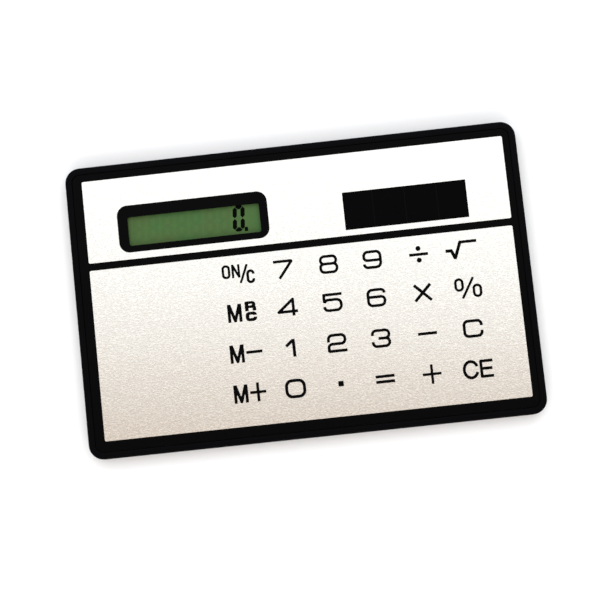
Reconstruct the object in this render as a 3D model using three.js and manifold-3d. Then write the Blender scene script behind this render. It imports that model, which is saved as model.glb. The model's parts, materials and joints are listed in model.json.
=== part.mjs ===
// Slim solar calculator in the format of a bank card, lying on its back.
// Millimetres. X runs along the long side, Y towards the display, Z out of the face.
// The origin is the middle of the back, on the surface that the calculator lies on.

import * as THREE from "three";
import { mergeVertices } from "three/addons/utils/BufferGeometryUtils.js";
import Module from "manifold-3d";

const wasm = await Module();
wasm.setup();

// ---- driving dimensions ----

// Case
const caseWidth = 85.0;
const caseDepth = 54.9;
const caseThickness = 3.0;
const caseCornerRadius = 2.8;
const caseEdgeChamfer = 0.25;
const rimWidth = 1.25;
const ledgeWidth = 0.8; // inner ledge that carries the face sheet above and the back cover below
const webThickness = 0.3;

// Face sheet, set a little below the rim
const sheetThickness = 0.3;
const sheetDrop = 0.1;
const sheetClearance = 0.12;
const adhesiveThickness = 0.05;
const adhesiveInset = 0.4;

// Back cover
const coverThickness = 0.6;
const coverClearance = 0.12;
const backTapeInset = 0.15;

// Keys: the zones of the sheet that are pressed, on one grid
const keyColumns = 6;
const firstColumnX = -11.7;
const columnPitch = 8.42;
const firstRowY = 4.22;
const firstRowPitch = 7.17;
const rowPitch = 7.58;
const keyRadius = 2.7;
const keyClearance = 0.3;
const keyTravel = 0.25;
const contactPadRadius = 1.5;
const contactPadThickness = 0.04;
const contactGap = 0.01; // what is left between pad and board with the key right down

// Film stack under the keys
const contactFilmThickness = 0.1;
const keypadMarginX = 2.6; // from the outermost key windows to the edge of the web's opening
const keypadMarginY = 0.9;
const filmClearance = 0.3;

// Circuit board and what is soldered under it
const boardWidth = 76.0;
const boardThickness = 0.6;
const boardOverlapY = 1.0; // how far the board reaches past the keypad opening at the bottom
const boardGlassGap = 0.43; // between the board's top edge and the display's front glass
const chipRadius = 4.0;
const chipHeight = 0.6;
const chipX = -27.0;
const chipY = -7.0;
const capacitorSize = [2.0, 1.25, 0.8];
const diodeSize = [1.6, 0.8, 0.6];
const resistorSize = [1.6, 0.8, 0.45];
const smallPartsX = -23.0;
const smallPartsY = 2.6;
const smallPartsPitch = 3.2;

// Display
const displayWindowWidth = 24.9;
const displayWindowHeight = 5.5;
const displayX = -19.0;
const displayY = 14.4;
const windowCornerRadius = 0.4;
const webWindowStep = 0.1; // the web's window is this much larger than the sheet's on each side
const glassMarginX = 1.6;
const glassMarginTop = 1.5;
const glassMarginBottom = 1.3;
const terminalLedge = 1.3; // the front glass reaches this far past the rear glass
const polarizerInset = 0.25;
const polarizerThickness = 0.15;
const glassThickness = 0.4;
const reflectorThickness = 0.2;
const displayTapeWidth = 0.8;
const ribbonWidth = 22.0;
const ribbonThickness = 0.1;
const ribbonOverlap = 1.2;

// Solar cell
const solarWindowWidth = 23.0;
const solarWindowHeight = 7.0;
const solarX = 20.67;
const solarY = 13.77;
const solarMargin = 0.8; // cell hidden behind the sheet on each side of its window
const solarThickness = 1.0;
const solarClearance = 0.15;
const leadRadius = 0.2;
const leadSpacing = 17.0;
const solderSize = 1.0;
const solderHeight = 0.45; // more than the wire is thick
const solderInset = 0.6; // from the cell's and the board's edges to the solder

const arcSegments = 5;
const circleSegments = 16;
const through = 1.0; // how far a cutter runs past the face it opens

// ---- levels, from the face down and from the back up ----

const sheetTop = caseThickness - sheetDrop;
const sheetBottom = sheetTop - sheetThickness;
const webTop = sheetBottom - adhesiveThickness;
const webBottom = webTop - webThickness;
const contactFilmBottom = sheetBottom - contactFilmThickness;
const spacerThickness = keyTravel + contactPadThickness + contactGap;
const boardTop = contactFilmBottom - spacerThickness;
const boardBottom = boardTop - boardThickness;
const displayTop = webBottom - adhesiveThickness;
const frontGlassTop = displayTop - polarizerThickness;
const frontGlassBottom = frontGlassTop - glassThickness;
const rearGlassBottom = frontGlassBottom - glassThickness;
const solarBottom = webTop - solarThickness;
const backTapeTop = coverThickness + adhesiveThickness;

// ---- plan sizes worked out from the driving dimensions ----

const pocketInset = rimWidth;
const cavityInset = rimWidth + ledgeWidth;
const keyWindowRadius = keyRadius + keyClearance;
const lastColumnX = firstColumnX + (keyColumns - 1) * columnPitch;
const rowY = [0, 1, 2, 3].map((row) =>
  row === 0 ? firstRowY : firstRowY - firstRowPitch - (row - 1) * rowPitch,
);
const keypad = {
  left: firstColumnX - keyWindowRadius - keypadMarginX,
  right: lastColumnX + keyWindowRadius + keypadMarginX,
  bottom: rowY[3] - keyWindowRadius - keypadMarginY,
  top: rowY[0] + keyWindowRadius + keypadMarginY,
};
const displayWindow = around(displayX, displayY, displayWindowWidth, displayWindowHeight);
const rearGlass = {
  left: displayWindow.left - glassMarginX,
  right: displayWindow.right + glassMarginX,
  bottom: displayWindow.bottom - glassMarginBottom,
  top: displayWindow.top + glassMarginTop,
};
const frontGlass = { ...rearGlass, bottom: rearGlass.bottom - terminalLedge };
const board = {
  left: -boardWidth / 2,
  right: boardWidth / 2,
  bottom: keypad.bottom - boardOverlapY,
  top: frontGlass.bottom - boardGlassGap,
};
const solarWindow = around(solarX, solarY, solarWindowWidth, solarWindowHeight);
const solarCell = grown(solarWindow, solarMargin);

const keyNames = [
  ["on_c", "7", "8", "9", "divide", "root"],
  ["memory_recall", "4", "5", "6", "multiply", "percent"],
  ["memory_minus", "1", "2", "3", "minus", "c"],
  ["memory_plus", "0", "point", "equals", "plus", "ce"],
];

// ---- outlines and solids ----

function around(x, y, width, height) {
  return {
    left: x - width / 2,
    right: x + width / 2,
    bottom: y - height / 2,
    top: y + height / 2,
  };
}

function grown(area, by) {
  return {
    left: area.left - by,
    right: area.right + by,
    bottom: area.bottom - by,
    top: area.top + by,
  };
}

// The case's outline moved inwards; its corners stay concentric.
function caseOutline(inset) {
  const area = grown(around(0, 0, caseWidth, caseDepth), -inset);
  return outline(area, Math.max(caseCornerRadius - inset, 0));
}

// Draws an area with round corners into a THREE.Shape or THREE.Path.
function outline(area, radius = 0, target = new THREE.Shape()) {
  const { left, right, bottom, top } = area;
  if (radius === 0) {
    target.moveTo(left, bottom).lineTo(right, bottom).lineTo(right, top).lineTo(left, top);
    return target;
  }
  target.moveTo(left + radius, bottom).lineTo(right - radius, bottom);
  target.absarc(right - radius, bottom + radius, radius, -Math.PI / 2, 0);
  target.lineTo(right, top - radius);
  target.absarc(right - radius, top - radius, radius, 0, Math.PI / 2);
  target.lineTo(left + radius, top);
  target.absarc(left + radius, top - radius, radius, Math.PI / 2, Math.PI);
  target.lineTo(left, bottom + radius);
  target.absarc(left + radius, bottom + radius, radius, Math.PI, Math.PI * 1.5);
  return target;
}

function hole(area, radius = 0) {
  return outline(area, radius, new THREE.Path());
}

function roundHole(x, y, radius) {
  const path = new THREE.Path();
  path.absarc(x, y, radius, 0, Math.PI * 2);
  return path;
}

// A flat piece between two levels, with its holes right through.
function slab(shape, bottom, top, holes = [], segments = arcSegments) {
  shape.holes.push(...holes);
  const geometry = new THREE.ExtrudeGeometry(shape, {
    depth: top - bottom,
    bevelEnabled: false,
    curveSegments: segments,
  });
  return geometry.translate(0, 0, bottom);
}

function block(area, bottom, top) {
  return slab(outline(area), bottom, top);
}

function toSolid(geometry) {
  const plain = geometry.index ? geometry.toNonIndexed() : geometry.clone();
  plain.deleteAttribute("normal");
  plain.deleteAttribute("uv");
  const merged = mergeVertices(plain, 1e-4);
  return new wasm.Manifold(
    new wasm.Mesh({
      numProp: 3,
      vertProperties: new Float32Array(merged.attributes.position.array),
      triVerts: new Uint32Array(merged.index.array),
    }),
  );
}

function toGeometry(solid) {
  const mesh = solid.getMesh();
  const geometry = new THREE.BufferGeometry();
  geometry.setAttribute("position", new THREE.BufferAttribute(mesh.vertProperties, 3));
  geometry.setIndex(new THREE.BufferAttribute(mesh.triVerts, 1));
  const faceted = geometry.toNonIndexed();
  faceted.computeVertexNormals();
  return faceted;
}

function cut(base, cutters) {
  return toGeometry(cutters.reduce((solid, cutter) => solid.subtract(toSolid(cutter)), toSolid(base)));
}

function join(pieces) {
  return toGeometry(pieces.map(toSolid).reduce((whole, piece) => whole.add(piece)));
}

// ---- materials ----

const blackPlastic = { color: 0x141517, roughness: 0.45, metalness: 0 };
const silverSheet = { color: 0xd9d6cf, roughness: 0.4, metalness: 0.8 };
const clearFilm = { color: 0xc9ccc4, roughness: 0.4, metalness: 0 };
const paleTape = { color: 0xb8b49f, roughness: 0.8, metalness: 0 };
const greenFilm = { color: 0x5f8a4f, roughness: 0.25, metalness: 0 };
const glass = { color: 0xa9c0b4, roughness: 0.08, metalness: 0 };
const reflector = { color: 0xa7b9a0, roughness: 0.5, metalness: 0.4 };
const laminate = { color: 0x2f5d3a, roughness: 0.55, metalness: 0 };
const epoxy = { color: 0x0c0c0d, roughness: 0.35, metalness: 0 };
const ceramic = { color: 0x8f7a5c, roughness: 0.5, metalness: 0 };
const redWire = { color: 0xa8201c, roughness: 0.5, metalness: 0 };
const blackWire = { color: 0x161616, roughness: 0.5, metalness: 0 };
const ribbonFilm = { color: 0xb9a878, roughness: 0.45, metalness: 0 };
const solarGlass = { color: 0x0d0b10, roughness: 0.12, metalness: 0 };

function piece(name, geometry, look) {
  const mesh = new THREE.Mesh(geometry, new THREE.MeshStandardMaterial(look));
  mesh.name = name;
  return mesh;
}

// ---- case, cover and face ----

// One moulding: a rim, a web that carries the face sheet and a pocket for the back cover.
function caseFrame() {
  const shell = new THREE.ExtrudeGeometry(caseOutline(0), {
    depth: caseThickness - 2 * caseEdgeChamfer,
    bevelThickness: caseEdgeChamfer,
    bevelSize: caseEdgeChamfer,
    bevelOffset: -caseEdgeChamfer,
    bevelSegments: 1,
    curveSegments: arcSegments,
  }).translate(0, 0, caseEdgeChamfer);
  const webWindow = grown(displayWindow, webWindowStep);
  return cut(shell, [
    slab(caseOutline(pocketInset), webTop, caseThickness + through),
    slab(caseOutline(pocketInset), -through, backTapeTop),
    slab(caseOutline(cavityInset), 0, webBottom),
    block(keypad, 0, caseThickness),
    slab(outline(webWindow, windowCornerRadius), 0, caseThickness),
    block(grown(solarCell, solarClearance), 0, caseThickness),
  ]);
}

function backCover() {
  return slab(caseOutline(pocketInset + coverClearance), 0, coverThickness);
}

// A frame of tape on the ledge above the cover.
function backTape() {
  const inner = grown(around(0, 0, caseWidth, caseDepth), -cavityInset);
  const outer = caseOutline(pocketInset + backTapeInset);
  return slab(outer, coverThickness, backTapeTop, [hole(inner, caseCornerRadius - cavityInset)]);
}

function keyWindows() {
  return rowY.flatMap((y) =>
    keyNames[0].map((_, column) => roundHole(firstColumnX + column * columnPitch, y, keyWindowRadius)),
  );
}

function faceSheet() {
  const holes = [hole(displayWindow, windowCornerRadius), hole(solarWindow), ...keyWindows()];
  return slab(caseOutline(pocketInset + sheetClearance), sheetBottom, sheetTop, holes, circleSegments / 2);
}

function faceAdhesive() {
  const holes = [
    hole(grown(displayWindow, adhesiveInset)),
    hole(grown(solarWindow, adhesiveInset)),
    hole(keypad),
  ];
  return slab(caseOutline(pocketInset + adhesiveInset), webTop, sheetBottom, holes);
}

// ---- keypad ----

function keypadFilm(bottom, top) {
  return slab(outline(grown(keypad, -filmClearance)), bottom, top, keyWindows(), circleSegments / 2);
}

// The pressed zone of the sheet with the contact film bonded to it and its printed contact pad.
function keyZone() {
  const padBottom = contactFilmBottom - contactPadThickness;
  const profile = [
    [0, padBottom],
    [contactPadRadius, padBottom],
    [contactPadRadius, contactFilmBottom],
    [keyRadius, contactFilmBottom],
    [keyRadius, sheetTop],
    [0, sheetTop],
  ].map(([radius, level]) => new THREE.Vector2(radius, level));
  return new THREE.LatheGeometry(profile, circleSegments).rotateX(Math.PI / 2);
}

function keys() {
  const pad = new THREE.Group();
  rowY.forEach((y, row) => {
    keyNames[row].forEach((name, column) => {
      const key = piece("key_" + name, keyZone(), silverSheet);
      key.position.set(firstColumnX + column * columnPitch, y, 0);
      pad.add(key);
    });
  });
  return pad;
}

// ---- electronics ----

function circuitBoard() {
  return block(board, boardBottom, boardTop);
}

// A drop of epoxy hanging under the board: a flat dome.
function chipDrop() {
  const steps = 4;
  const dome = [...Array(steps + 1).keys()].map((step) => {
    const angle = (step / steps) * (Math.PI / 2);
    return new THREE.Vector2(chipRadius * Math.sin(angle), -chipHeight * Math.cos(angle));
  });
  const profile = [...dome, new THREE.Vector2(0, 0)];
  const drop = new THREE.LatheGeometry(profile, circleSegments).rotateX(Math.PI / 2);
  return drop.translate(chipX, chipY, boardBottom);
}

function smallPart([width, depth, height], place) {
  const area = around(smallPartsX + place * smallPartsPitch, smallPartsY, width, depth);
  return block(area, boardBottom - height, boardBottom);
}

// A lead runs from a solder joint under the cell to one under the board.
function solarLead(side) {
  const x = solarX + (side * leadSpacing) / 2;
  const cellY = solarCell.bottom + solderInset + solderSize / 2;
  const boardY = board.top - solderInset - solderSize / 2;
  const wireZ = solarBottom - solderHeight + leadRadius;
  const path = new THREE.LineCurve3(
    new THREE.Vector3(x, cellY, wireZ),
    new THREE.Vector3(x, boardY, wireZ),
  );
  const section = new THREE.Shape();
  section.absarc(0, 0, leadRadius, 0, Math.PI * 2);
  const wire = new THREE.ExtrudeGeometry(section, {
    steps: 1,
    extrudePath: path,
    curveSegments: 4,
  });
  const jointBottom = solarBottom - solderHeight;
  return join([
    block(around(x, cellY, solderSize, solderSize), jointBottom, solarBottom),
    block(around(x, boardY, solderSize, solderSize), jointBottom, boardBottom),
    wire,
  ]);
}

// ---- display and solar cell ----

function frontPolarizer() {
  return block(grown(rearGlass, -polarizerInset), frontGlassTop, displayTop);
}

function displayTape() {
  const outer = outline(grown(displayWindow, webWindowStep + displayTapeWidth));
  return slab(outer, displayTop, webBottom, [hole(grown(displayWindow, webWindowStep))]);
}

function rearReflector() {
  return block(
    grown(rearGlass, -polarizerInset),
    rearGlassBottom - reflectorThickness,
    rearGlassBottom,
  );
}

// The strip lies under the front glass's terminals, steps to the board's level and lies under its edge.
function ribbon() {
  const glassEnd = frontGlass.bottom + ribbonOverlap;
  const boardEnd = board.top - ribbonOverlap;
  const side = [
    [glassEnd, frontGlassBottom],
    [frontGlass.bottom, frontGlassBottom],
    [board.top, boardBottom],
    [boardEnd, boardBottom],
  ];
  const under = side.map(([y, z]) => [y, z - ribbonThickness]).reverse();
  const section = new THREE.Shape([...side, ...under].map(([y, z]) => new THREE.Vector2(y, z)));
  const strip = new THREE.ExtrudeGeometry(section, { depth: ribbonWidth, bevelEnabled: false });
  // The section's plane becomes YZ and the strip's width runs along X.
  const toYz = new THREE.Matrix4().makeBasis(
    new THREE.Vector3(0, 1, 0),
    new THREE.Vector3(0, 0, 1),
    new THREE.Vector3(1, 0, 0),
  );
  return strip.applyMatrix4(toYz).translate(displayX - ribbonWidth / 2, 0, 0);
}

// ---- assembly ----

const calculator = new THREE.Group();
calculator.name = "calculator";
calculator.add(
  piece("case_frame", caseFrame(), blackPlastic),
  piece("back_cover", backCover(), blackPlastic),
  piece("back_tape", backTape(), paleTape),
  piece("face_sheet", faceSheet(), silverSheet),
  piece("face_adhesive", faceAdhesive(), paleTape),
  keys(),
  piece("contact_film", keypadFilm(contactFilmBottom, sheetBottom), clearFilm),
  piece("key_spacer", keypadFilm(boardTop, contactFilmBottom), clearFilm),
  piece("circuit_board", circuitBoard(), laminate),
  piece("chip_encapsulant", chipDrop(), epoxy),
  piece("supply_capacitor", smallPart(capacitorSize, 0), ceramic),
  piece("clamp_diode", smallPart(diodeSize, 1), redWire),
  piece("clock_resistor", smallPart(resistorSize, 2), epoxy),
  piece("lcd_front_polarizer", frontPolarizer(), greenFilm),
  piece("lcd_front_glass", block(frontGlass, frontGlassBottom, frontGlassTop), glass),
  piece("lcd_rear_glass", block(rearGlass, rearGlassBottom, frontGlassBottom), glass),
  piece("lcd_reflector", rearReflector(), reflector),
  piece("lcd_tape", displayTape(), paleTape),
  piece("lcd_ribbon", ribbon(), ribbonFilm),
  piece("solar_cell", block(solarCell, solarBottom, webTop), solarGlass),
  piece("solar_lead_positive", solarLead(1), redWire),
  piece("solar_lead_negative", solarLead(-1), blackWire),
);

export default calculator;
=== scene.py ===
# Slim solar calculator in the format of a bank card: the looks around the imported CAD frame.
# Sizes in the dictionaries are millimetres in the part's own frame; Blender works in metres.

import json
import math

import bmesh
import bpy
import numpy as np
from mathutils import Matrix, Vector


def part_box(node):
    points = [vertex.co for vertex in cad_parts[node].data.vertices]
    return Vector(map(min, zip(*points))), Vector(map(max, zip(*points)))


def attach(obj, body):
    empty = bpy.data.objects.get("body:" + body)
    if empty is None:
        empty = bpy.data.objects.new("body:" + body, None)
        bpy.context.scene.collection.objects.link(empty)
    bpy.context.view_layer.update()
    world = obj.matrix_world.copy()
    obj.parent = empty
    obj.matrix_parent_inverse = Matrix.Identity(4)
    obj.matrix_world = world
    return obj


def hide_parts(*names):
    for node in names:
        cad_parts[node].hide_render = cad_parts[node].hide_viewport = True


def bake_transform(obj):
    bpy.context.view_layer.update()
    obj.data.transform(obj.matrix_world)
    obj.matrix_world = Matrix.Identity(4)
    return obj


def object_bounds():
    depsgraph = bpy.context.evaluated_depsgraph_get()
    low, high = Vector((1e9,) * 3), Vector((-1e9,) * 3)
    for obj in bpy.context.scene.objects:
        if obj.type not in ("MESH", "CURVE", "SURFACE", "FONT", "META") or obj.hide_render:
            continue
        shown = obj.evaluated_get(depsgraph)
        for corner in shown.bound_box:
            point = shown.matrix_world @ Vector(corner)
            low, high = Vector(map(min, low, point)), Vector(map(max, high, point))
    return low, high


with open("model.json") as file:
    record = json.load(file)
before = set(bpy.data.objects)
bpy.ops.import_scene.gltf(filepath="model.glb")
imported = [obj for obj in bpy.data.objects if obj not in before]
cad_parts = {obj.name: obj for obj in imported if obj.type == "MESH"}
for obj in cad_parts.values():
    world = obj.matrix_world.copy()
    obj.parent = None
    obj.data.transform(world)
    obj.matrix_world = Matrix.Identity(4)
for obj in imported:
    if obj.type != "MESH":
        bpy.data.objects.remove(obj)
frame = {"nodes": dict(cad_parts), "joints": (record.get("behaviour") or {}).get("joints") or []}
cadLow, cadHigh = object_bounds()
mm = 0.001
print("frame loaded:", len(frame["nodes"]), "CAD nodes")


def linear(code):
    # sRGB hex, as a colour picker shows it, to the linear values that shaders take
    channels = [int(code[i:i + 2], 16) / 255 for i in (1, 3, 5)]
    return [c / 12.92 if c <= 0.04045 else ((c + 0.055) / 1.055) ** 2.4 for c in channels] + [1.0]


def addNode(tree, kind, values=None, links=None, **settings):
    # values go on sockets, links join sockets to another node's output, settings are the node's own
    node = tree.nodes.new("ShaderNode" + kind)
    for name, value in settings.items():
        setattr(node, name, value)
    for name, value in (values or {}).items():
        node.inputs[name].default_value = value
    for name, source in (links or {}).items():
        tree.links.new(source, node.inputs[name])
    return node


def newMaterial(name, colour, values):
    material = bpy.data.materials.new(name)
    material.use_nodes = True
    material.diffuse_color = linear(colour)
    tree = material.node_tree
    shader = tree.nodes["Principled BSDF"]
    shader.inputs["Base Color"].default_value = linear(colour)
    for socket, value in values.items():
        shader.inputs[socket].default_value = value
    return material, tree, shader


def frequency(size):
    # pattern scale that makes one feature of a texture this many millimetres long
    return 1 / (size * mm)


def grown(area, by):
    # an area is its left, right, bottom and top
    return [area[0] - by, area[1] + by, area[2] - by, area[3] + by]


def areaOf(node, by=0.0):
    # the area of a CAD node in millimetres, grown or shrunk all round
    low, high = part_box(node)
    return grown([low.x / mm, high.x / mm, low.y / mm, high.y / mm], by)


def levelsOf(node):
    # underside and upper side of a CAD node in millimetres
    low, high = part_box(node)
    return low.z / mm, high.z / mm


def centred(x, y, width, height):
    return [x - width / 2, x + width / 2, y - height / 2, y + height / 2]


# nearly straight down on the object, which lies turned by six degrees in the view
camera = {"place": (7.04, -30.32, 280.1), "turn": (5.66, 2.21, -5.96), "lens": 90, "sensor": 36}
studio = {
    "floorHex": "#FBFBFA", "floorSize": 3000, "floorGap": 0.02,
    "mottle": 40, "mottleDepth": 0.1, "mottleStrength": 0.05,
    # the room: pale walls and a dimmer, warmer ceiling, which the film mirrors from straight above
    "wallHex": "#F4F6FA", "wallStrength": 1.15, "ceilingHex": "#F4D4B8", "ceilingStrength": 0.695,
    "ceilingFrom": 0.75, "ceilingFull": 0.93,
    "softboxes": [
        # name, place, aimed at, width, height, turn in degrees, brightness, colour
        ("overhead", (40, 300, 560), (0, 0, 0), 760, 620, 4, 1.15, "#DDF1FF"),
        ("fill", (0, -600, 420), (0, 0, 0), 700, 400, 0, 2.0, "#FFFFFF"),
    ],
}


def buildCamera():
    data = bpy.data.cameras.new("camera")
    data.lens = camera["lens"]
    data.sensor_width = camera["sensor"]
    data.clip_start = 0.01
    rig = bpy.data.objects.new("camera", data)
    rig.location = [v * mm for v in camera["place"]]
    rig.rotation_euler = [math.radians(v) for v in camera["turn"]]
    bpy.context.scene.collection.objects.link(rig)
    bpy.context.scene.camera = rig


def buildRoom(scene):
    room = bpy.data.worlds.new("studio room")
    room.use_nodes = True
    tree = room.node_tree
    way = addNode(tree, "TexCoord")
    height = addNode(tree, "SeparateXYZ", {}, {"Vector": way.outputs["Generated"]})
    share = addNode(tree, "MapRange", {"From Min": studio["ceilingFrom"], "From Max": studio["ceilingFull"]},
                    {"Value": height.outputs["Z"]}, interpolation_type="SMOOTHSTEP")
    wall = [c * studio["wallStrength"] for c in linear(studio["wallHex"])]
    ceiling = [c * studio["ceilingStrength"] for c in linear(studio["ceilingHex"])]
    blend = addNode(tree, "Mix", {"A": wall, "B": ceiling}, {"Factor": share.outputs["Result"]},
                    data_type="RGBA")
    tree.links.new(blend.outputs["Result"], tree.nodes["Background"].inputs["Color"])
    scene.world = room


def buildStudio():
    scene = bpy.context.scene
    scene.view_settings.view_transform = "Standard"
    buildRoom(scene)
    for name, place, aim, width, height, turn, brightness, colour in studio["softboxes"]:
        data = bpy.data.lights.new(name, "AREA")
        data.shape = "RECTANGLE"
        data.size, data.size_y = width * mm, height * mm
        data.energy = brightness * math.pi * data.size * data.size_y
        data.color = linear(colour)[:3]
        lamp = bpy.data.objects.new(name, data)
        towards = np.array(aim, float) - np.array(place, float)
        lamp.location = [v * mm for v in place]
        aimed = Vector(towards).to_track_quat("-Z", "Y").to_matrix()
        lamp.rotation_euler = (aimed @ Matrix.Rotation(math.radians(turn), 3, "Z")).to_euler()
        scene.collection.objects.link(lamp)
    half = studio["floorSize"] * mm / 2
    level = cadLow.z - studio["floorGap"] * mm
    mesh = bpy.data.meshes.new("floor")
    corners = [(-half, -half, level), (half, -half, level), (half, half, level), (-half, half, level)]
    mesh.from_pydata(corners, [], [(0, 1, 2, 3)])
    floor = bpy.data.objects.new("floor", mesh)
    scene.collection.objects.link(floor)
    # matt painted board: nearly white, no gloss
    paint, tree, shader = newMaterial("painted board", studio["floorHex"],
                                      {"Roughness": 0.9, "Specular IOR Level": 0.1})
    mottle = addNode(tree, "TexNoise", {"Scale": frequency(studio["mottle"]), "Detail": 2.0})
    bump = addNode(tree, "Bump",
                   {"Strength": studio["mottleStrength"], "Distance": studio["mottleDepth"] * mm},
                   {"Height": mottle.outputs["Fac"]})
    tree.links.new(bump.outputs["Normal"], shader.inputs["Normal"])
    mesh.materials.append(paint)


buildCamera()
buildStudio()
print("camera, softboxes and floor set")


outlineSteps = 8  # straight pieces in a rounded corner, seen from above
filletSteps = 4  # and in a rounded edge, seen from the side
leastCorner = 0.05
sharpFrom = 35  # degrees: edges that turn more than this stay crisp


def roundedBox(area, radius=0.0, steps=outlineSteps):
    # outline of a box with round corners, counter-clockwise
    left, right, bottom, top = area
    if radius <= 0:
        return [(left, bottom), (right, bottom), (right, top), (left, top)]
    corners = [(right - radius, bottom + radius, -90), (right - radius, top - radius, 0),
               (left + radius, top - radius, 90), (left + radius, bottom + radius, 180)]
    outline = []
    for x, y, start in corners:
        for step in range(steps + 1):
            turn = math.radians(start + 90 * step / steps)
            outline.append((x + radius * math.cos(turn), y + radius * math.sin(turn)))
    return outline


def fillOutlines(outlines):
    # points and triangles of a flat shape; outlines inside the first are its holes
    shape = bmesh.new()
    for outline in outlines:
        ring = [shape.verts.new((x, y, 0)) for x, y in outline]
        for i, corner in enumerate(ring):
            shape.edges.new((corner, ring[(i + 1) % len(ring)]))
    bmesh.ops.triangle_fill(shape, use_beauty=True, use_dissolve=False, edges=shape.edges[:])
    shape.verts.index_update()
    shape.normal_update()
    points = [(v.co.x, v.co.y) for v in shape.verts]
    faces = []
    for face in shape.faces:
        loop = [v.index for v in face.verts]
        faces.append(loop if face.normal.z > 0 else loop[::-1])
    shape.free()
    return points, faces


def plate(name, points, faces, low, high, smooth=False):
    # closed plate between two levels from the faces of its upper side
    count = len(points)
    verts = [(x * mm, y * mm, high * mm) for x, y in points]
    verts += [(x * mm, y * mm, low * mm) for x, y in points]
    edges = {(face[i - 1], face[i]) for face in faces for i in range(len(face))}
    sides = [(b, a, a + count, b + count) for a, b in edges if (b, a) not in edges]
    under = [tuple(i + count for i in reversed(face)) for face in faces]
    mesh = bpy.data.meshes.new(name)
    mesh.from_pydata(verts, [], [tuple(face) for face in faces] + under + sides)
    return placed(name, mesh, smooth)


def placed(name, mesh, smooth):
    mesh.validate()
    if smooth:
        mesh.polygons.foreach_set("use_smooth", [True] * len(mesh.polygons))
        mesh.set_sharp_from_angle(angle=math.radians(sharpFrom))
    mesh.update()
    made = bpy.data.objects.new(name, mesh)
    bpy.context.scene.collection.objects.link(made)
    return made


def ringSolid(name, profile, area, radius):
    # a closed profile of (inset, level) points led round a box with round corners
    rings = []
    for inset, level in profile:
        outline = roundedBox(grown(area, -inset), max(radius - inset, leastCorner))
        rings.append([(x * mm, y * mm, level * mm) for x, y in outline])
    around = len(rings[0])
    verts = [point for ring in rings for point in ring]
    faces = []
    for r in range(len(rings)):
        after = (r + 1) % len(rings)
        for i in range(around):
            j = (i + 1) % around
            faces.append((r * around + i, r * around + j, after * around + j, after * around + i))
    mesh = bpy.data.meshes.new(name)
    mesh.from_pydata(verts, [], faces)
    return placed(name, mesh, True)


def fillet(inset, level, radius, start):
    # quarter round in a profile, about (inset, level), from the start angle on by 90 degrees clockwise
    angles = [math.radians(start - 90 * step / filletSteps) for step in range(filletSteps + 1)]
    return [(inset + radius * math.cos(a), level + radius * math.sin(a)) for a in angles]


def finishPiece(piece, material, body=None, replaced=()):
    piece.data.materials.clear()
    piece.data.materials.append(material)
    if body:
        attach(piece, body)
    if replaced:
        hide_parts(*replaced)
    return piece


# grain, speck, cloud and relief are millimetres; the grain runs along the sheet, longer by the streak
film = {
    "colour": "#F1F3EF", "shade": "#DEDEDA", "roughness": (0.26, 0.275),
    "grain": 0.2, "streak": 1.7, "speck": 0.22, "cloud": 5.0, "relief": 0.006,
    "shadedFrom": 0.7, "shadedTo": 1.3, "cloudFrom": 0.3, "cloudTo": 0.7,
}
# part of the noise that carries the step from one shade to the other
finishNoise = {"detail": 3.0, "shadedFrom": 0.35, "shadedTo": 0.65}


def metallisedFilm():
    # vacuum-metallised plastic film with a satin face: soft silver that mirrors the room as a blur,
    # with a fine running grain from the calender rolls
    material, tree, shader = newMaterial("satin metallised film", film["colour"],
                                         {"Metallic": 1.0, "Roughness": film["roughness"][0]})
    place = addNode(tree, "TexCoord")
    # drawn about twice as coarse as a real grain of 0.1 mm, which would not show
    drawn = addNode(tree, "Mapping", {"Scale": (1 / film["streak"], 1.0, 1.0)},
                    {"Vector": place.outputs["Object"]})
    grain = addNode(tree, "TexNoise", {"Scale": frequency(film["grain"]), "Detail": 1.0, "Roughness": 0.5},
                    {"Vector": drawn.outputs["Vector"]})
    speck = addNode(tree, "TexVoronoi", {"Scale": frequency(film["speck"])},
                    {"Vector": drawn.outputs["Vector"]}, feature="SMOOTH_F1")
    cloud = addNode(tree, "TexNoise", {"Scale": frequency(film["cloud"]), "Detail": 2.0},
                    {"Vector": place.outputs["Object"]})
    both = addNode(tree, "Math", {}, {0: grain.outputs["Fac"], 1: speck.outputs["Distance"]},
                   operation="ADD")
    spread = addNode(tree, "MapRange", {"From Min": film["shadedFrom"], "From Max": film["shadedTo"]},
                     {"Value": both.outputs[0]})
    tint = addNode(tree, "Mix", {"A": linear(film["shade"]), "B": linear(film["colour"])},
                   {"Factor": spread.outputs["Result"]}, data_type="RGBA")
    tree.links.new(tint.outputs["Result"], shader.inputs["Base Color"])
    gloss = addNode(tree, "MapRange", {"From Min": film["cloudFrom"], "From Max": film["cloudTo"],
                                       "To Min": film["roughness"][0], "To Max": film["roughness"][1]},
                    {"Value": cloud.outputs["Fac"]})
    tree.links.new(gloss.outputs["Result"], shader.inputs["Roughness"])
    bump = addNode(tree, "Bump", {"Strength": 1.0, "Distance": film["relief"] * mm},
                   {"Height": both.outputs[0]})
    tree.links.new(bump.outputs["Normal"], shader.inputs["Normal"])
    return material


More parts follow.
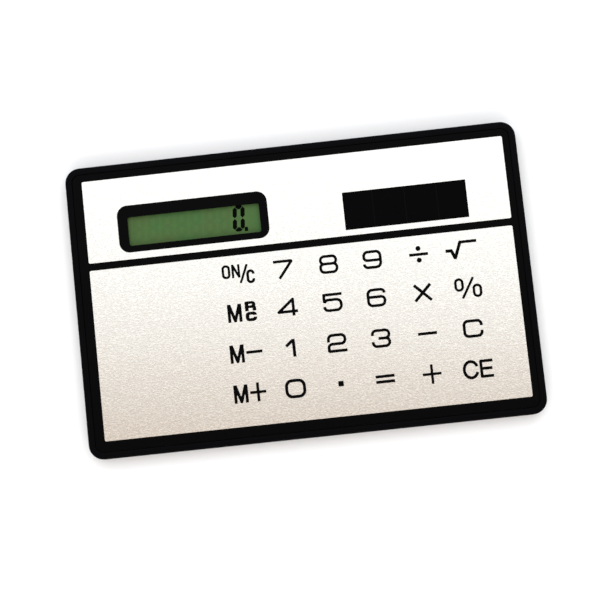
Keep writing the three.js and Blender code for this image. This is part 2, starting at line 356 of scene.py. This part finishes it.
def plainFinish(name, colour, shade, grain, relief, values, glossSpread=0.0):
    # one colour broken up by a fine noise, with the relief and the gloss changes of its making
    material, tree, shader = newMaterial(name, colour, values)
    place = addNode(tree, "TexCoord")
    noise = addNode(tree, "TexNoise", {"Scale": frequency(grain), "Detail": finishNoise["detail"]},
                    {"Vector": place.outputs["Object"]})
    spread = addNode(tree, "MapRange",
                     {"From Min": finishNoise["shadedFrom"], "From Max": finishNoise["shadedTo"]},
                     {"Value": noise.outputs["Fac"]})
    tint = addNode(tree, "Mix", {"A": linear(shade), "B": linear(colour)},
                   {"Factor": spread.outputs["Result"]}, data_type="RGBA")
    tree.links.new(tint.outputs["Result"], shader.inputs["Base Color"])
    bump = addNode(tree, "Bump", {"Strength": 1.0, "Distance": relief * mm},
                   {"Height": noise.outputs["Fac"]})
    tree.links.new(bump.outputs["Normal"], shader.inputs["Normal"])
    if glossSpread:
        rough = values["Roughness"]
        gloss = addNode(tree, "MapRange", {"To Min": rough - glossSpread, "To Max": rough + glossSpread},
                        {"Value": spread.outputs["Result"]})
        tree.links.new(gloss.outputs["Result"], shader.inputs["Roughness"])
    return material


silverFilm = metallisedFilm()
# screen-printed ink on the film: dense black, slightly satin, with the weave of the screen just felt
printInk = plainFinish(
    "screen-printed black ink", "#040405", "#030304", grain=0.3, relief=0.004, glossSpread=0.05,
    values={"Roughness": 0.38, "IOR": 1.5, "Specular IOR Level": 0.03})
# injection-moulded ABS from a fine spark-eroded tool: black with a satin grain
mouldedAbs = plainFinish(
    "moulded black ABS", "#040406", "#030304", grain=0.25, relief=0.004, glossSpread=0.06,
    values={"Roughness": 0.42, "IOR": 1.53, "Specular IOR Level": 0.03})
# the same ABS from a coarser tool: the cover looks greyer and duller than the rim
grainedAbs = plainFinish(
    "spark-textured black ABS", "#111215", "#0C0D0F", grain=0.45, relief=0.02, glossSpread=0.08,
    values={"Roughness": 0.6, "IOR": 1.53, "Specular IOR Level": 0.3})
# stretched polarizing film over the display's glass: a dull grey-green that reflects little
polarizer = plainFinish(
    "green-grey polarizing film", "#456839", "#4D6438", grain=5.0, relief=0.003, glossSpread=0.04,
    values={"Roughness": 0.3, "IOR": 1.48, "Specular IOR Level": 0.08})
# liquid crystal with the voltage on: nearly black, with the green of the film over it
litCrystal = plainFinish(
    "switched liquid crystal", "#030403", "#040604", grain=0.5, relief=0.001,
    values={"Roughness": 0.35, "IOR": 1.5, "Specular IOR Level": 0.02})
# liquid crystal without voltage: only a shade darker than its ground
idleCrystal = plainFinish(
    "idle liquid crystal", "#426437", "#4A6036", grain=5.0, relief=0.001,
    values={"Roughness": 0.32, "IOR": 1.5, "Specular IOR Level": 0.08})
# amorphous silicon behind float glass: almost black, with a smooth gloss
siliconGlass = plainFinish(
    "amorphous silicon on glass", "#020203", "#030203", grain=3.0, relief=0.0005, glossSpread=0.02,
    values={"Roughness": 0.14, "IOR": 1.52, "Specular IOR Level": 0.02})
# laser scribe between the cells: bare conductor, a hair line hardly paler than the silicon
scribeMark = plainFinish(
    "laser-scribed oxide", "#050406", "#040305", grain=0.2, relief=0.001,
    values={"Roughness": 0.4, "IOR": 1.9, "Specular IOR Level": 0.03})
print("materials for the visible surfaces made")


case = {"corner": 2.8, "rim": 1.25, "cavity": 2.05, "outerRound": 0.3, "innerRound": 0.12,
        "windowStep": 0.1, "solarGap": 0.15, "keypadGap": 0.3}
# the sheet's windows stay this far inside the outlines of the tape and the cell behind them
windows = {"insideTape": 0.9, "insideCell": 0.74, "corner": 0.4}
displayWindow = areaOf("lcd_tape", -windows["insideTape"])
solarWindow = areaOf("solar_cell", -windows["insideCell"])


def buildCase():
    area = areaOf("case_frame")
    bottom, top = levelsOf("case_frame")
    seat = levelsOf("face_adhesive")[0]
    webBottom = levelsOf("lcd_tape")[1]
    pocketTop = levelsOf("back_tape")[1]
    outer, inner, rim, cavity = case["outerRound"], case["innerRound"], case["rim"], case["cavity"]
    profile = (fillet(outer, bottom + outer, outer, 270) + fillet(outer, top - outer, outer, 180)
               + fillet(rim - inner, top - inner, inner, 90)
               + [(rim, seat), (cavity, seat), (cavity, pocketTop), (rim, pocketTop)]
               + fillet(rim - inner, bottom + inner, inner, 0))
    shell = ringSolid("case_shell", profile, area, case["corner"])
    # the web inside the ring carries the sheet; its windows show the display and the solar cell
    outlines = [roundedBox(grown(area, -cavity), case["corner"] - cavity),
                roundedBox(grown(displayWindow, case["windowStep"]), windows["corner"]),
                roundedBox(areaOf("solar_cell", case["solarGap"])),
                roundedBox(areaOf("key_spacer", case["keypadGap"]))]
    web = plate("case_web", *fillOutlines(outlines), webBottom, seat)
    finishPiece(shell, mouldedAbs, "case", ["case_frame"])
    finishPiece(web, mouldedAbs, "case")


cover = {"corner": 1.43, "edgeRound": 0.1, "edgeSteps": 3}


def buildCover():
    bottom, top = levelsOf("back_cover")
    edge = cover["edgeRound"]
    area = areaOf("back_cover")
    # from the upper side down to the rounded lower edge
    rings = [(0.0, top), (0.0, bottom + edge)]
    for step in range(1, cover["edgeSteps"] + 1):
        turn = math.radians(90 * step / cover["edgeSteps"])
        rings.append((edge - edge * math.cos(turn), bottom + edge - edge * math.sin(turn)))
    verts, faces = [], []
    for inset, level in rings:
        outline = roundedBox(grown(area, -inset), cover["corner"] - inset)
        verts += [(x * mm, y * mm, level * mm) for x, y in outline]
    around = len(verts) // len(rings)
    for r in range(len(rings) - 1):
        for i in range(around):
            j = (i + 1) % around
            faces.append((r * around + j, r * around + i, (r + 1) * around + i, (r + 1) * around + j))
    faces.append(tuple(range(around)))
    faces.append(tuple(reversed(range((len(rings) - 1) * around, len(rings) * around))))
    mesh = bpy.data.meshes.new("rear_cover")
    mesh.from_pydata(verts, [], faces)
    finishPiece(placed("rear_cover", mesh, True), grainedAbs, "case", ["back_cover"])


buildCase()
buildCover()
print("case and cover built")


# the face sheet is one film, with a square patch over each key
sheet = {"corner": 1.43, "patchHalf": 3.3, "bendStart": 3.0, "bendEnd": 1.5, "inkThickness": 0.015,
         "turns": 48, "firstRing": 0.7, "bendRings": 10, "bendMargin": 0.1}
sheetBottom, sheetTop = levelsOf("face_sheet")
inkTop = sheetTop + sheet["inkThickness"]
keyBodies = [joint["child"] for joint in frame["joints"]]


def keyCentre(body):
    left, right, bottom, top = areaOf(body)
    return (left + right) / 2, (bottom + top) / 2


def bend(piece):
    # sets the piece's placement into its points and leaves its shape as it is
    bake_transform(piece)


def buildSheet():
    holes = [roundedBox(displayWindow, windows["corner"]), roundedBox(solarWindow)]
    for body in keyBodies:
        x, y = keyCentre(body)
        holes.append(roundedBox(centred(x, y, 2 * sheet["patchHalf"], 2 * sheet["patchHalf"])))
    outline = roundedBox(areaOf("face_sheet"), sheet["corner"])
    face = plate("sheet_film", *fillOutlines([outline] + holes), sheetBottom, sheetTop)
    finishPiece(face, silverFilm, "case", ["face_sheet"])


def buildPatch(body):
    # rings out to the spacer's hole, then out to the patch's square edge
    x, y = keyCentre(body)
    turns, half = sheet["turns"], sheet["patchHalf"]
    bendRadii = np.linspace(sheet["bendEnd"] - sheet["bendMargin"], sheet["bendStart"], sheet["bendRings"])
    radii = [sheet["firstRing"], *bendRadii]
    points = [(x, y)]
    for radius in radii + [None]:  # none stands for the square edge
        for turn in range(turns):
            angle = 2 * math.pi * turn / turns
            c, s = math.cos(angle), math.sin(angle)
            reach = radius or half / max(abs(c), abs(s))
            points.append((x + reach * c, y + reach * s))
    faces = [(0, 1 + turn, 1 + (turn + 1) % turns) for turn in range(turns)]
    for ring in range(len(radii)):
        inner, outer = 1 + ring * turns, 1 + (ring + 1) * turns
        for turn in range(turns):
            after = (turn + 1) % turns
            faces.append((inner + turn, outer + turn, outer + after, inner + after))
    patch = plate("film_over_" + body, points, faces, sheetBottom, sheetTop, smooth=True)
    finishPiece(patch, silverFilm, None, [body])
    bend(patch)


printing = {
    "silver": (-39.38, 39.93, -24.16, 24.72), "silverCorner": 0.3,
    "bar": (7.76, 9.16), "surround": (-33.33, -5.0, 10.44, 19.37), "surroundCorner": 1.95,
    "lining": 0.03,
}


def buildPrinting():
    left, right, bottom, top = printing["silver"]
    barLow, barHigh = printing["bar"]
    corner = printing["silverCorner"]
    # the border and the crossbar are one print, with the silver left open above and below the bar
    outline = roundedBox(areaOf("face_sheet"), sheet["corner"])
    upper = roundedBox((left, right, barHigh, top), corner)
    lower = roundedBox((left, right, bottom, barLow), corner)
    border = plate("printed_border", *fillOutlines([outline, upper, lower]), sheetTop, inkTop)
    finishPiece(border, printInk, "case")
    # the ink also runs down the cut edge of the display's window
    window = roundedBox(displayWindow, windows["corner"])
    lined = roundedBox(grown(displayWindow, -printing["lining"]), windows["corner"] - printing["lining"])
    around = roundedBox(printing["surround"], printing["surroundCorner"])
    surround = plate("printed_surround", *fillOutlines([around, lined]), sheetTop, inkTop)
    finishPiece(surround, printInk, "case")
    lining = plate("window_lining", *fillOutlines([window, lined]), sheetBottom, sheetTop)
    finishPiece(lining, printInk, "case")


buildSheet()
for keyBody in keyBodies:
    buildPatch(keyBody)
buildPrinting()
print("face sheet built with", len(keyBodies), "key patches")


# The legends are signs drawn in strokes of ink. A stroke is a list of (x, y) or (x, y, corner radius) from
# the sign's centre; a loop closes on itself; an arc is half its width, half its height and the angles that
# it runs between; a dot is its place and radius. A clip cuts the sign off at its left, right, bottom and
# top. A sign with a stretch is drawn narrow and widened, which makes its upright strokes the bolder ones.
signs = {
    "0": {"width": 0.5, "loops": [[(-1.65, -1.49, 1.05), (1.65, -1.49, 1.05), (1.65, 1.49, 1.05),
                                    (-1.65, 1.49, 1.05)]]},
    "1": {"width": 0.5, "lines": [[(-0.88, 0.38), (0.5, 1.5), (0.53, -1.7)]],
          "clip": (-1.2, 0.83, -1.7, 1.62)},
    "2": {"width": 0.46, "lines": [[(-1.5, 0.27), (-1.5, 1.49, 0.75), (1.57, 1.49, 0.75),
                                    (1.57, -0.15, 0.75), (-1.52, -0.15, 0.75), (-1.52, -1.46, 0.1),
                                    (1.8, -1.46)]]},
    "3": {"width": 0.45, "lines": [[(-1.5, 0.6), (-1.5, 1.48, 0.7), (1.57, 1.48, 0.7), (1.57, 0, 0.7),
                                    (-0.4, 0)],
                                   [(-0.4, 0), (1.57, 0, 0.7), (1.57, -1.48, 0.75), (-1.5, -1.48, 0.75),
                                    (-1.5, -0.6)]]},
    "4": {"width": 0.46, "lines": [[(1.94, -0.84), (-1.62, -0.84), (1.16, 1.42), (1.16, -1.64)]]},
    "5": {"width": 0.45, "lines": [[(1.81, 1.48), (-1.52, 1.48), (-1.52, 0.05)],
                                   [(-1.52, 0.1), (-1.0, 0.5, 0.5), (1.6, 0.5, 0.85), (1.6, -1.47, 0.9),
                                    (-1.55, -1.47, 0.75), (-1.55, -0.75)]]},
    "6": {"width": 0.45, "lines": [[(1.55, 0.8), (1.55, 1.48, 0.7), (-1.53, 1.48, 0.85), (-1.53, -1.47, 0.8),
                                    (1.53, -1.47, 0.8), (1.53, 0.14, 0.65), (-1.53, 0.14)]]},
    "7": {"width": 0.44, "lines": [[(-1.72, 1.47), (1.72, 1.47, 0.08), (-0.8, -1.72)]]},
    "8": {"width": 0.44, "loops": [[(-1.44, 0.09, 0.65), (1.44, 0.09, 0.65), (1.44, 1.5, 0.7),
                                    (-1.44, 1.5, 0.7)],
                                   [(-1.52, -1.5, 0.75), (1.52, -1.5, 0.75), (1.52, 0.09, 0.65),
                                    (-1.52, 0.09, 0.65)]]},
    "9": {"width": 0.45, "lines": [[(-1.55, -0.8), (-1.55, -1.48, 0.7), (1.53, -1.48, 0.85),
                                    (1.53, 1.47, 0.8), (-1.53, 1.47, 0.8), (-1.53, -0.14, 0.65),
                                    (1.53, -0.14)]]},
    "wideC": {"width": 0.46, "lines": [[(1.6, 0.48), (1.6, 1.42, 0.75), (-1.6, 1.42, 0.75),
                                        (-1.6, -1.42, 0.75), (1.6, -1.42, 0.75), (1.6, -0.45)]]},
    "tallC": {"width": 0.48, "arcs": [(1.25, 1.5, 22, 338)]},
    "tallE": {"width": 0.46, "lines": [[(1.2, 1.42), (-0.96, 1.42), (-0.96, -1.42), (1.2, -1.42)],
                                       [(-0.96, 0.03), (1.05, 0.03)]]},
    "square": {"width": 0.92, "lines": [[(-0.46, 0), (0.46, 0)]]},
    "bar": {"width": 0.46, "lines": [[(-1.72, 0), (1.72, 0)]]},
    "cross": {"width": 0.41, "lines": [[(-1.7, 0), (1.7, 0)], [(0, -1.76), (0, 1.76)]]},
    "times": {"width": 0.48, "lines": [[(-1.5, -1.49), (1.5, 1.49)], [(-1.5, 1.49), (1.5, -1.49)]]},
    "dot": {"width": 0.4, "dots": [(0, 0, 0.43)]},
    "root": {"width": 0.52, "lines": [[(-3.24, 0), (-2.2, 0), (-1.62, -1.5), (-0.45, 1.47), (2.57, 1.47)]],
             "clip": (-3.3, 2.6, -1.66, 1.72)},
    "ring": {"width": 0.4, "loops": [[(-0.64, -1.02, 0.62), (0.64, -1.02, 0.62), (0.64, 1.02, 0.62),
                                       (-0.64, 1.02, 0.62)]]},
    "slash": {"width": 0.38, "lines": [[(1.1, 1.87), (-1.13, -1.87)]]},
    "smallO": {"width": 0.38, "loops": [[(-0.57, -1.07, 0.5), (0.57, -1.07, 0.5), (0.57, 1.07, 0.5),
                                        (-0.57, 1.07, 0.5)]]},
    "smallN": {"width": 0.35, "lines": [[(-0.57, -1.24), (-0.57, 1.24)], [(-0.57, 1.22), (0.57, -1.22)],
                                       [(0.57, -1.24), (0.57, 1.24)]], "clip": (-0.81, 0.81, -1.27, 1.27)},
    "smallSlash": {"width": 0.36, "lines": [[(0.7, 1.68), (-0.7, -1.68)]]},
    "smallC": {"width": 0.42, "lines": [[(0.54, 0.45), (0.54, 1.05, 0.5), (-0.54, 1.05, 0.52),
                                         (-0.54, -1.05, 0.52), (0.54, -1.05, 0.5), (0.54, -0.45)]]},
    "m": {"width": 0.48, "lines": [[(-1.05, -1.8), (-1.05, 1.8)], [(1.05, -1.8), (1.05, 1.8)],
                                   [(-1.0, 1.75), (0, -1.5), (1.0, 1.75)]],
          "clip": (-1.34, 1.34, -1.7, 1.68)},
    "boldR": {"width": 0.42, "stretch": 1.36,
              "lines": [[(-0.51, -0.85), (-0.51, 0.68), (0.47, 0.68, 0.28), (0.47, -0.11, 0.28),
                         (-0.51, -0.11)],
                        [(0.2, -0.11), (0.53, -0.2, 0.1), (0.53, -0.85)]]},
    "boldC": {"width": 0.49, "stretch": 1.19,
              "lines": [[(0.6, 0.27), (0.6, 0.61, 0.3), (-0.6, 0.61, 0.34), (-0.6, -0.58, 0.34),
                         (0.6, -0.58, 0.36), (0.6, -0.14)]]},
    "shortBar": {"width": 0.45, "lines": [[(-1.47, 0), (1.47, 0)]]},
    "smallCross": {"width": 0.45, "lines": [[(-1.46, 0), (1.46, 0)], [(0, -1.72), (0, 1.72)]]},
}
# which signs a key carries, and where they lie from its centre
legends = {
    "on_c": [("smallO", -2.25, 0.58), ("smallN", -0.42, 0.58), ("smallSlash", 1.03, -0.03),
             ("smallC", 2.27, -0.67)],
    "7": [("7", 0, 0)],
    "8": [("8", 0.08, 0.01)],
    "9": [("9", -0.16, 0.01)],
    "divide": [("bar", 0.09, 0.01), ("dot", 0.09, 1.13), ("dot", 0.09, -1.07)],
    "root": [("root", -0.03, 0.03)],
    "memory_recall": [("m", -1.38, -0.07), ("boldR", 1.63, 0.95), ("boldC", 1.65, -1.0)],
    "4": [("4", 0, 0)],
    "5": [("5", 0.07, 0)],
    "6": [("6", -0.16, 0)],
    "multiply": [("times", 0.07, 0)],
    "percent": [("ring", -1.55, 0.68), ("slash", 0.05, 0), ("ring", 1.73, -0.65)],
    "memory_minus": [("m", -1.68, -0.09), ("shortBar", 1.53, 0)],
    "1": [("1", 0, -0.02)],
    "2": [("2", 0.07, -0.02)],
    "3": [("3", -0.16, -0.02)],
    "minus": [("bar", 0.07, -0.04)],
    "c": [("wideC", 0.1, -0.02)],
    "memory_plus": [("m", -1.7, 0.04), ("smallCross", 1.5, 0.09)],
    "0": [("0", 0.03, -0.01)],
    "point": [("square", 0.05, -0.01)],
    "equals": [("bar", -0.15, 0.51), ("bar", -0.15, -0.49)],
    "plus": [("cross", 0.09, -0.01)],
    "ce": [("tallC", -1.13, 0.01), ("tallE", 1.73, -0.01)],
}
# The ink spreads a little past its drawn edge, and its edge wanders by the creep. The shape is cut from a
# grid with this step, out to the reach; a cut stays a little off the grid's corners to leave no slivers.
ink = {"step": 0.075, "reach": 3.6, "leastCut": 0.08, "cornerSteps": 8, "arcPoints": 40,
       "spread": 0.04, "creep": 0.012, "creepLength": 0.9, "creepSkew": 1.3}
farOff = 1e3  # longer than any distance in a sign
shortest = 1e-6  # two points of a stroke nearer than this are one


def softened(stroke, closed):
    # the stroke's points with its corners rounded by their radii
    path = []
    last = len(stroke) - 1
    for i, corner in enumerate(stroke):
        here = np.array(corner[:2], float)
        if len(corner) < 3 or (not closed and i in (0, last)):
            path.append(here)
            continue
        before = np.array(stroke[i - 1][:2], float) - here
        after = np.array(stroke[(i + 1) % len(stroke)][:2], float) - here
        reachBefore, reachAfter = np.linalg.norm(before), np.linalg.norm(after)
        before, after = before / reachBefore, after / reachAfter
        half = math.acos(max(-1, min(1, float(before @ after)))) / 2
        # a curve takes up to half of the way to the next corner, or all of it to an open end
        roomBefore = reachBefore if not closed and i == 1 else reachBefore / 2
        roomAfter = reachAfter if not closed and i == last - 1 else reachAfter / 2
        reach = min(corner[2] / math.tan(half), roomBefore, roomAfter)
        middle = here + (before + after) / np.linalg.norm(before + after) * reach / math.cos(half)
        first, final = here + before * reach - middle, here + after * reach - middle
        sweep = math.atan2(first[0] * final[1] - first[1] * final[0], float(first @ final))
        for step in range(ink["cornerSteps"] + 1):
            turn = sweep * step / ink["cornerSteps"]
            c, s = math.cos(turn), math.sin(turn)
            path.append(middle + np.array([first[0] * c - first[1] * s, first[0] * s + first[1] * c]))
    if closed:
        path.append(path[0])
    # a curve that reaches the next point leaves that point twice
    return path[:1] + [b for a, b in zip(path, path[1:]) if np.linalg.norm(b - a) > shortest]


def strokeDistance(x, y, path, width, closed):
    # distance to a line of this width: flat ends, round joints
    found = np.full(x.shape, farOff)
    ends = [] if closed else [(path[0], path[0] - path[1]), (path[-1], path[-1] - path[-2])]
    for i in range(len(path) - 1):
        a, b = path[i], path[i + 1]
        along = b - a
        length = np.linalg.norm(along)
        along = along / length
        px, py = x - a[0], y - a[1]
        run = px * along[0] + py * along[1]
        side = np.abs(py * along[0] - px * along[1]) - width / 2
        end = np.abs(run - length / 2) - length / 2
        box = np.hypot(np.maximum(end, 0), np.maximum(side, 0)) + np.minimum(np.maximum(end, side), 0)
        found = np.minimum(found, box)
        if closed or i > 0:
            joint = np.hypot(px, py) - width / 2
            # a joint close to an open end is cut off flat with it
            for tip, out in ends:
                if np.linalg.norm(a - tip) < width:
                    past = ((x - tip[0]) * out[0] + (y - tip[1]) * out[1]) / np.linalg.norm(out)
                    joint = np.maximum(joint, past)
            found = np.minimum(found, joint)
    return found


def signDistance(sign, x, y):
    found = np.full(x.shape, farOff)
    x = x / sign.get("stretch", 1)
    for stroke in sign.get("lines", []):
        found = np.minimum(found, strokeDistance(x, y, softened(stroke, False), sign["width"], False))
    for stroke in sign.get("loops", []):
        found = np.minimum(found, strokeDistance(x, y, softened(stroke, True), sign["width"], True))
    for halfWidth, halfHeight, start, stop in sign.get("arcs", []):
        turns = np.radians(np.linspace(start, stop, ink["arcPoints"]))
        path = [np.array([halfWidth * math.cos(turn), halfHeight * math.sin(turn)]) for turn in turns]
        found = np.minimum(found, strokeDistance(x, y, path, sign["width"], False))
    for dotX, dotY, radius in sign.get("dots", []):
        found = np.minimum(found, np.hypot(x - dotX, y - dotY) - radius)
    found = found - ink["spread"]
    if "clip" in sign:
        left, right, bottom, top = sign["clip"]
        outside = np.maximum(np.maximum(left - x, x - right), np.maximum(bottom - y, y - top))
        found = np.maximum(found, outside)
    return found


def inkShape(legend, centreX, centreY):
    # the legend's filled shape: a fine grid, cut along the line where the distance is zero
    ticks = np.arange(-ink["reach"], ink["reach"] + ink["step"], ink["step"])
    x, y = np.meshgrid(ticks, ticks, indexing="ij")
    depth = np.full(x.shape, farOff)
    for name, offsetX, offsetY in legend:
        depth = np.minimum(depth, signDistance(signs[name], x - offsetX, y - offsetY))
    wave = 2 * math.pi / ink["creepLength"]
    skew = ink["creepSkew"] * (x + centreX)
    depth += ink["creep"] * np.sin(wave * (x + centreX)) * np.sin(wave * (y + centreY) + skew)
    points, faces, known = [], [], {}

    def pointAt(key, place):
        if key not in known:
            known[key] = len(points)
            points.append((place[0] + centreX, place[1] + centreY))
        return known[key]

    inside = depth < 0
    touched = inside[:-1, :-1] | inside[1:, :-1] | inside[1:, 1:] | inside[:-1, 1:]
    for i, j in np.argwhere(touched):
        corners = [(i, j), (i + 1, j), (i + 1, j + 1), (i, j + 1)]
        loop = []
        for n, here in enumerate(corners):
            there = corners[(n + 1) % 4]
            if inside[here]:
                loop.append(pointAt(here, (ticks[here[0]], ticks[here[1]])))
            if inside[here] != inside[there]:
                inner, outer = (here, there) if inside[here] else (there, here)
                share = depth[inner] / (depth[inner] - depth[outer])
                share = min(max(share, ink["leastCut"]), 1 - ink["leastCut"])
                place = [ticks[inner[k]] + (ticks[outer[k]] - ticks[inner[k]]) * share for k in (0, 1)]
                loop.append(pointAt((inner, outer), place))
        faces.append(tuple(loop))
    return points, faces


def buildLegend(body):
    name = body.replace("key_", "")
    x, y = keyCentre(body)
    points, faces = inkShape(legends[name], x, y)
    piece = plate("legend_" + name, points, faces, sheetTop, inkTop)
    finishPiece(piece, printInk)
    bend(piece)


for keyBody in keyBodies:
    buildLegend(keyBody)
print("legends printed")


display = {
    "digitX": -10.6, "digitY": 14.77, "pitch": 2.7, "count": 8, "halfWidth": 0.74, "halfHeight": 2.09,
    "bar": 0.79, "gap": 0.12, "slant": 0.08, "lean": 0.25, "thickness": 0.01,
    "pointX": 1.23, "pointY": -2.175, "pointSize": (0.62, 0.8), "pointCorner": 0.1, "pointCornerSteps": 3,
}


def segmentOutlines(x, y):
    # the seven bars of a digit, named as on any data sheet, each with pointed ends
    w, h, b, g = display["halfWidth"], display["halfHeight"], display["bar"] / 2, display["gap"] / 2

    def across(level, lean=0.0):
        # the tips of the outer two bars lie nearer the outside, so that edge is the longer one
        tip, under, over = level + lean * b, b + lean * b, b - lean * b
        return [(-w + g, tip), (-w + g + under, level - b), (w - g - under, level - b), (w - g, tip),
                (w - g - over, level + b), (-w + g + over, level + b)]

    def upright(side, low, high):
        return [(side, low + g), (side + b, low + g + b), (side + b, high - g - b), (side, high - g),
                (side - b, high - g - b), (side - b, low + g + b)]

    end = h + display["lean"] * b
    bars = {
        "a": across(h, display["lean"]),
        "g": across(0),
        "d": across(-h, -display["lean"]),
        "b": upright(w, 0, end),
        "c": upright(w, -end, 0),
        "e": upright(-w, -end, 0),
        "f": upright(-w, 0, end),
    }
    return {name: [(x + px + py * display["slant"], y + py) for px, py in bar] for name, bar in bars.items()}


def flatPieces(outlines):
    # several separate flat shapes as one set of points and faces
    points, faces = [], []
    for outline in outlines:
        found, loops = fillOutlines([outline])
        faces += [[i + len(points) for i in loop] for loop in loops]
        points += found
    return points, faces


def buildDisplay():
    filmTop = levelsOf("lcd_front_polarizer")[1]
    top = filmTop + display["thickness"]
    x, y = display["digitX"], display["digitY"]
    shown = segmentOutlines(x, y)
    idle = [shown.pop("g")]
    pointBox = centred(x + display["pointX"], y + display["pointY"], *display["pointSize"])
    point = roundedBox(pointBox, display["pointCorner"], display["pointCornerSteps"])
    digit = plate("display_digit", *flatPieces([*shown.values(), point]), filmTop, top)
    finishPiece(digit, litCrystal, "case")
    for place in range(1, display["count"]):
        idle += list(segmentOutlines(x - place * display["pitch"], y).values())
    idleDigits = plate("display_idle_digits", *flatPieces(idle), filmTop, top)
    finishPiece(idleDigits, idleCrystal, "case")


solar = {"cells": 4, "scribe": 0.06, "thickness": 0.004, "edge": 0.3}


def buildSolarCell():
    top = levelsOf("solar_cell")[1]
    left, right, bottom, upper = areaOf("solar_cell", -solar["edge"])
    lines = []
    for cell in range(1, solar["cells"]):
        x = left + (right - left) * cell / solar["cells"]
        lines.append(roundedBox((x - solar["scribe"] / 2, x + solar["scribe"] / 2, bottom, upper)))
    scribed = plate("solar_scribe_lines", *flatPieces(lines), top, top + solar["thickness"])
    finishPiece(scribed, scribeMark, "case")


buildDisplay()
buildSolarCell()
print("display and solar cell dressed")


# finishes for the CAD pieces that stay
carried = {
    "lcd_front_polarizer": polarizer,
    "solar_cell": siliconGlass,
    # pressure-sensitive adhesive on both sides of a carrier: pale and dull
    "back_tape face_adhesive lcd_tape": plainFinish(
        "double-sided adhesive tape", "#CFCBB8", "#C4BFA9", grain=0.8, relief=0.01,
        values={"Roughness": 0.75}),
    # stretched polyester: clear and glossy, seen here on its pale printed side
    "contact_film key_spacer": plainFinish(
        "polyester film", "#D5D8D2", "#CBCFC8", grain=2.0, relief=0.002,
        values={"Roughness": 0.25, "IOR": 1.6}),
    # glass-epoxy laminate under green solder mask: the weave shows as a faint grid of gloss
    "circuit_board": plainFinish(
        "glass-epoxy laminate", "#2C5E3A", "#255232", grain=0.5, relief=0.01, glossSpread=0.05,
        values={"Roughness": 0.4, "IOR": 1.55}),
    # epoxy that set as it ran: black and smooth
    "chip_encapsulant": plainFinish(
        "cast epoxy drop", "#0D0D0E", "#121214", grain=1.5, relief=0.01,
        values={"Roughness": 0.3, "IOR": 1.55}),
    # fired ceramic: tan and matt
    "supply_capacitor": plainFinish(
        "fired ceramic", "#9B8464", "#8C7657", grain=0.2, relief=0.005,
        values={"Roughness": 0.55}),
    # fired ceramic under a black glaze: a small shiny body
    "clock_resistor": plainFinish(
        "glazed ceramic", "#151515", "#1C1C1C", grain=0.2, relief=0.003,
        values={"Roughness": 0.35}),
    # epoxy moulded round the chip: deep red and glossy
    "clamp_diode": plainFinish(
        "red moulded epoxy", "#A3201B", "#8F1A16", grain=0.4, relief=0.002,
        values={"Roughness": 0.2, "IOR": 1.55}),
    # thin float glass: smooth, with a faint green
    "lcd_front_glass lcd_rear_glass": plainFinish(
        "thin float glass", "#A9BDB2", "#9FB4A8", grain=4.0, relief=0.001,
        values={"Roughness": 0.08, "IOR": 1.52}),
    # rear polarizer with a silvered back: pale green and pearly
    "lcd_reflector": plainFinish(
        "transflective film", "#B4C2AE", "#A8B8A2", grain=0.3, relief=0.004,
        values={"Roughness": 0.45, "Metallic": 0.4}),
    # heat-seal strip: amber film with carbon tracks
    "lcd_ribbon": plainFinish(
        "heat-seal strip", "#B9A06A", "#8E7A50", grain=0.6, relief=0.003,
        values={"Roughness": 0.4}),
    # PVC extruded over stranded copper: an even colour with a soft shine
    "solar_lead_positive": plainFinish(
        "red PVC insulation", "#B0211D", "#9A1C18", grain=0.5, relief=0.004,
        values={"Roughness": 0.4}),
    "solar_lead_negative": plainFinish(
        "black PVC insulation", "#171718", "#1E1E1F", grain=0.5, relief=0.004,
        values={"Roughness": 0.4}),
}
for names, finish in carried.items():
    for node in names.split():
        slots = frame["nodes"][node].data.materials
        slots.clear()
        slots.append(finish)
print("carried-over pieces dressed")
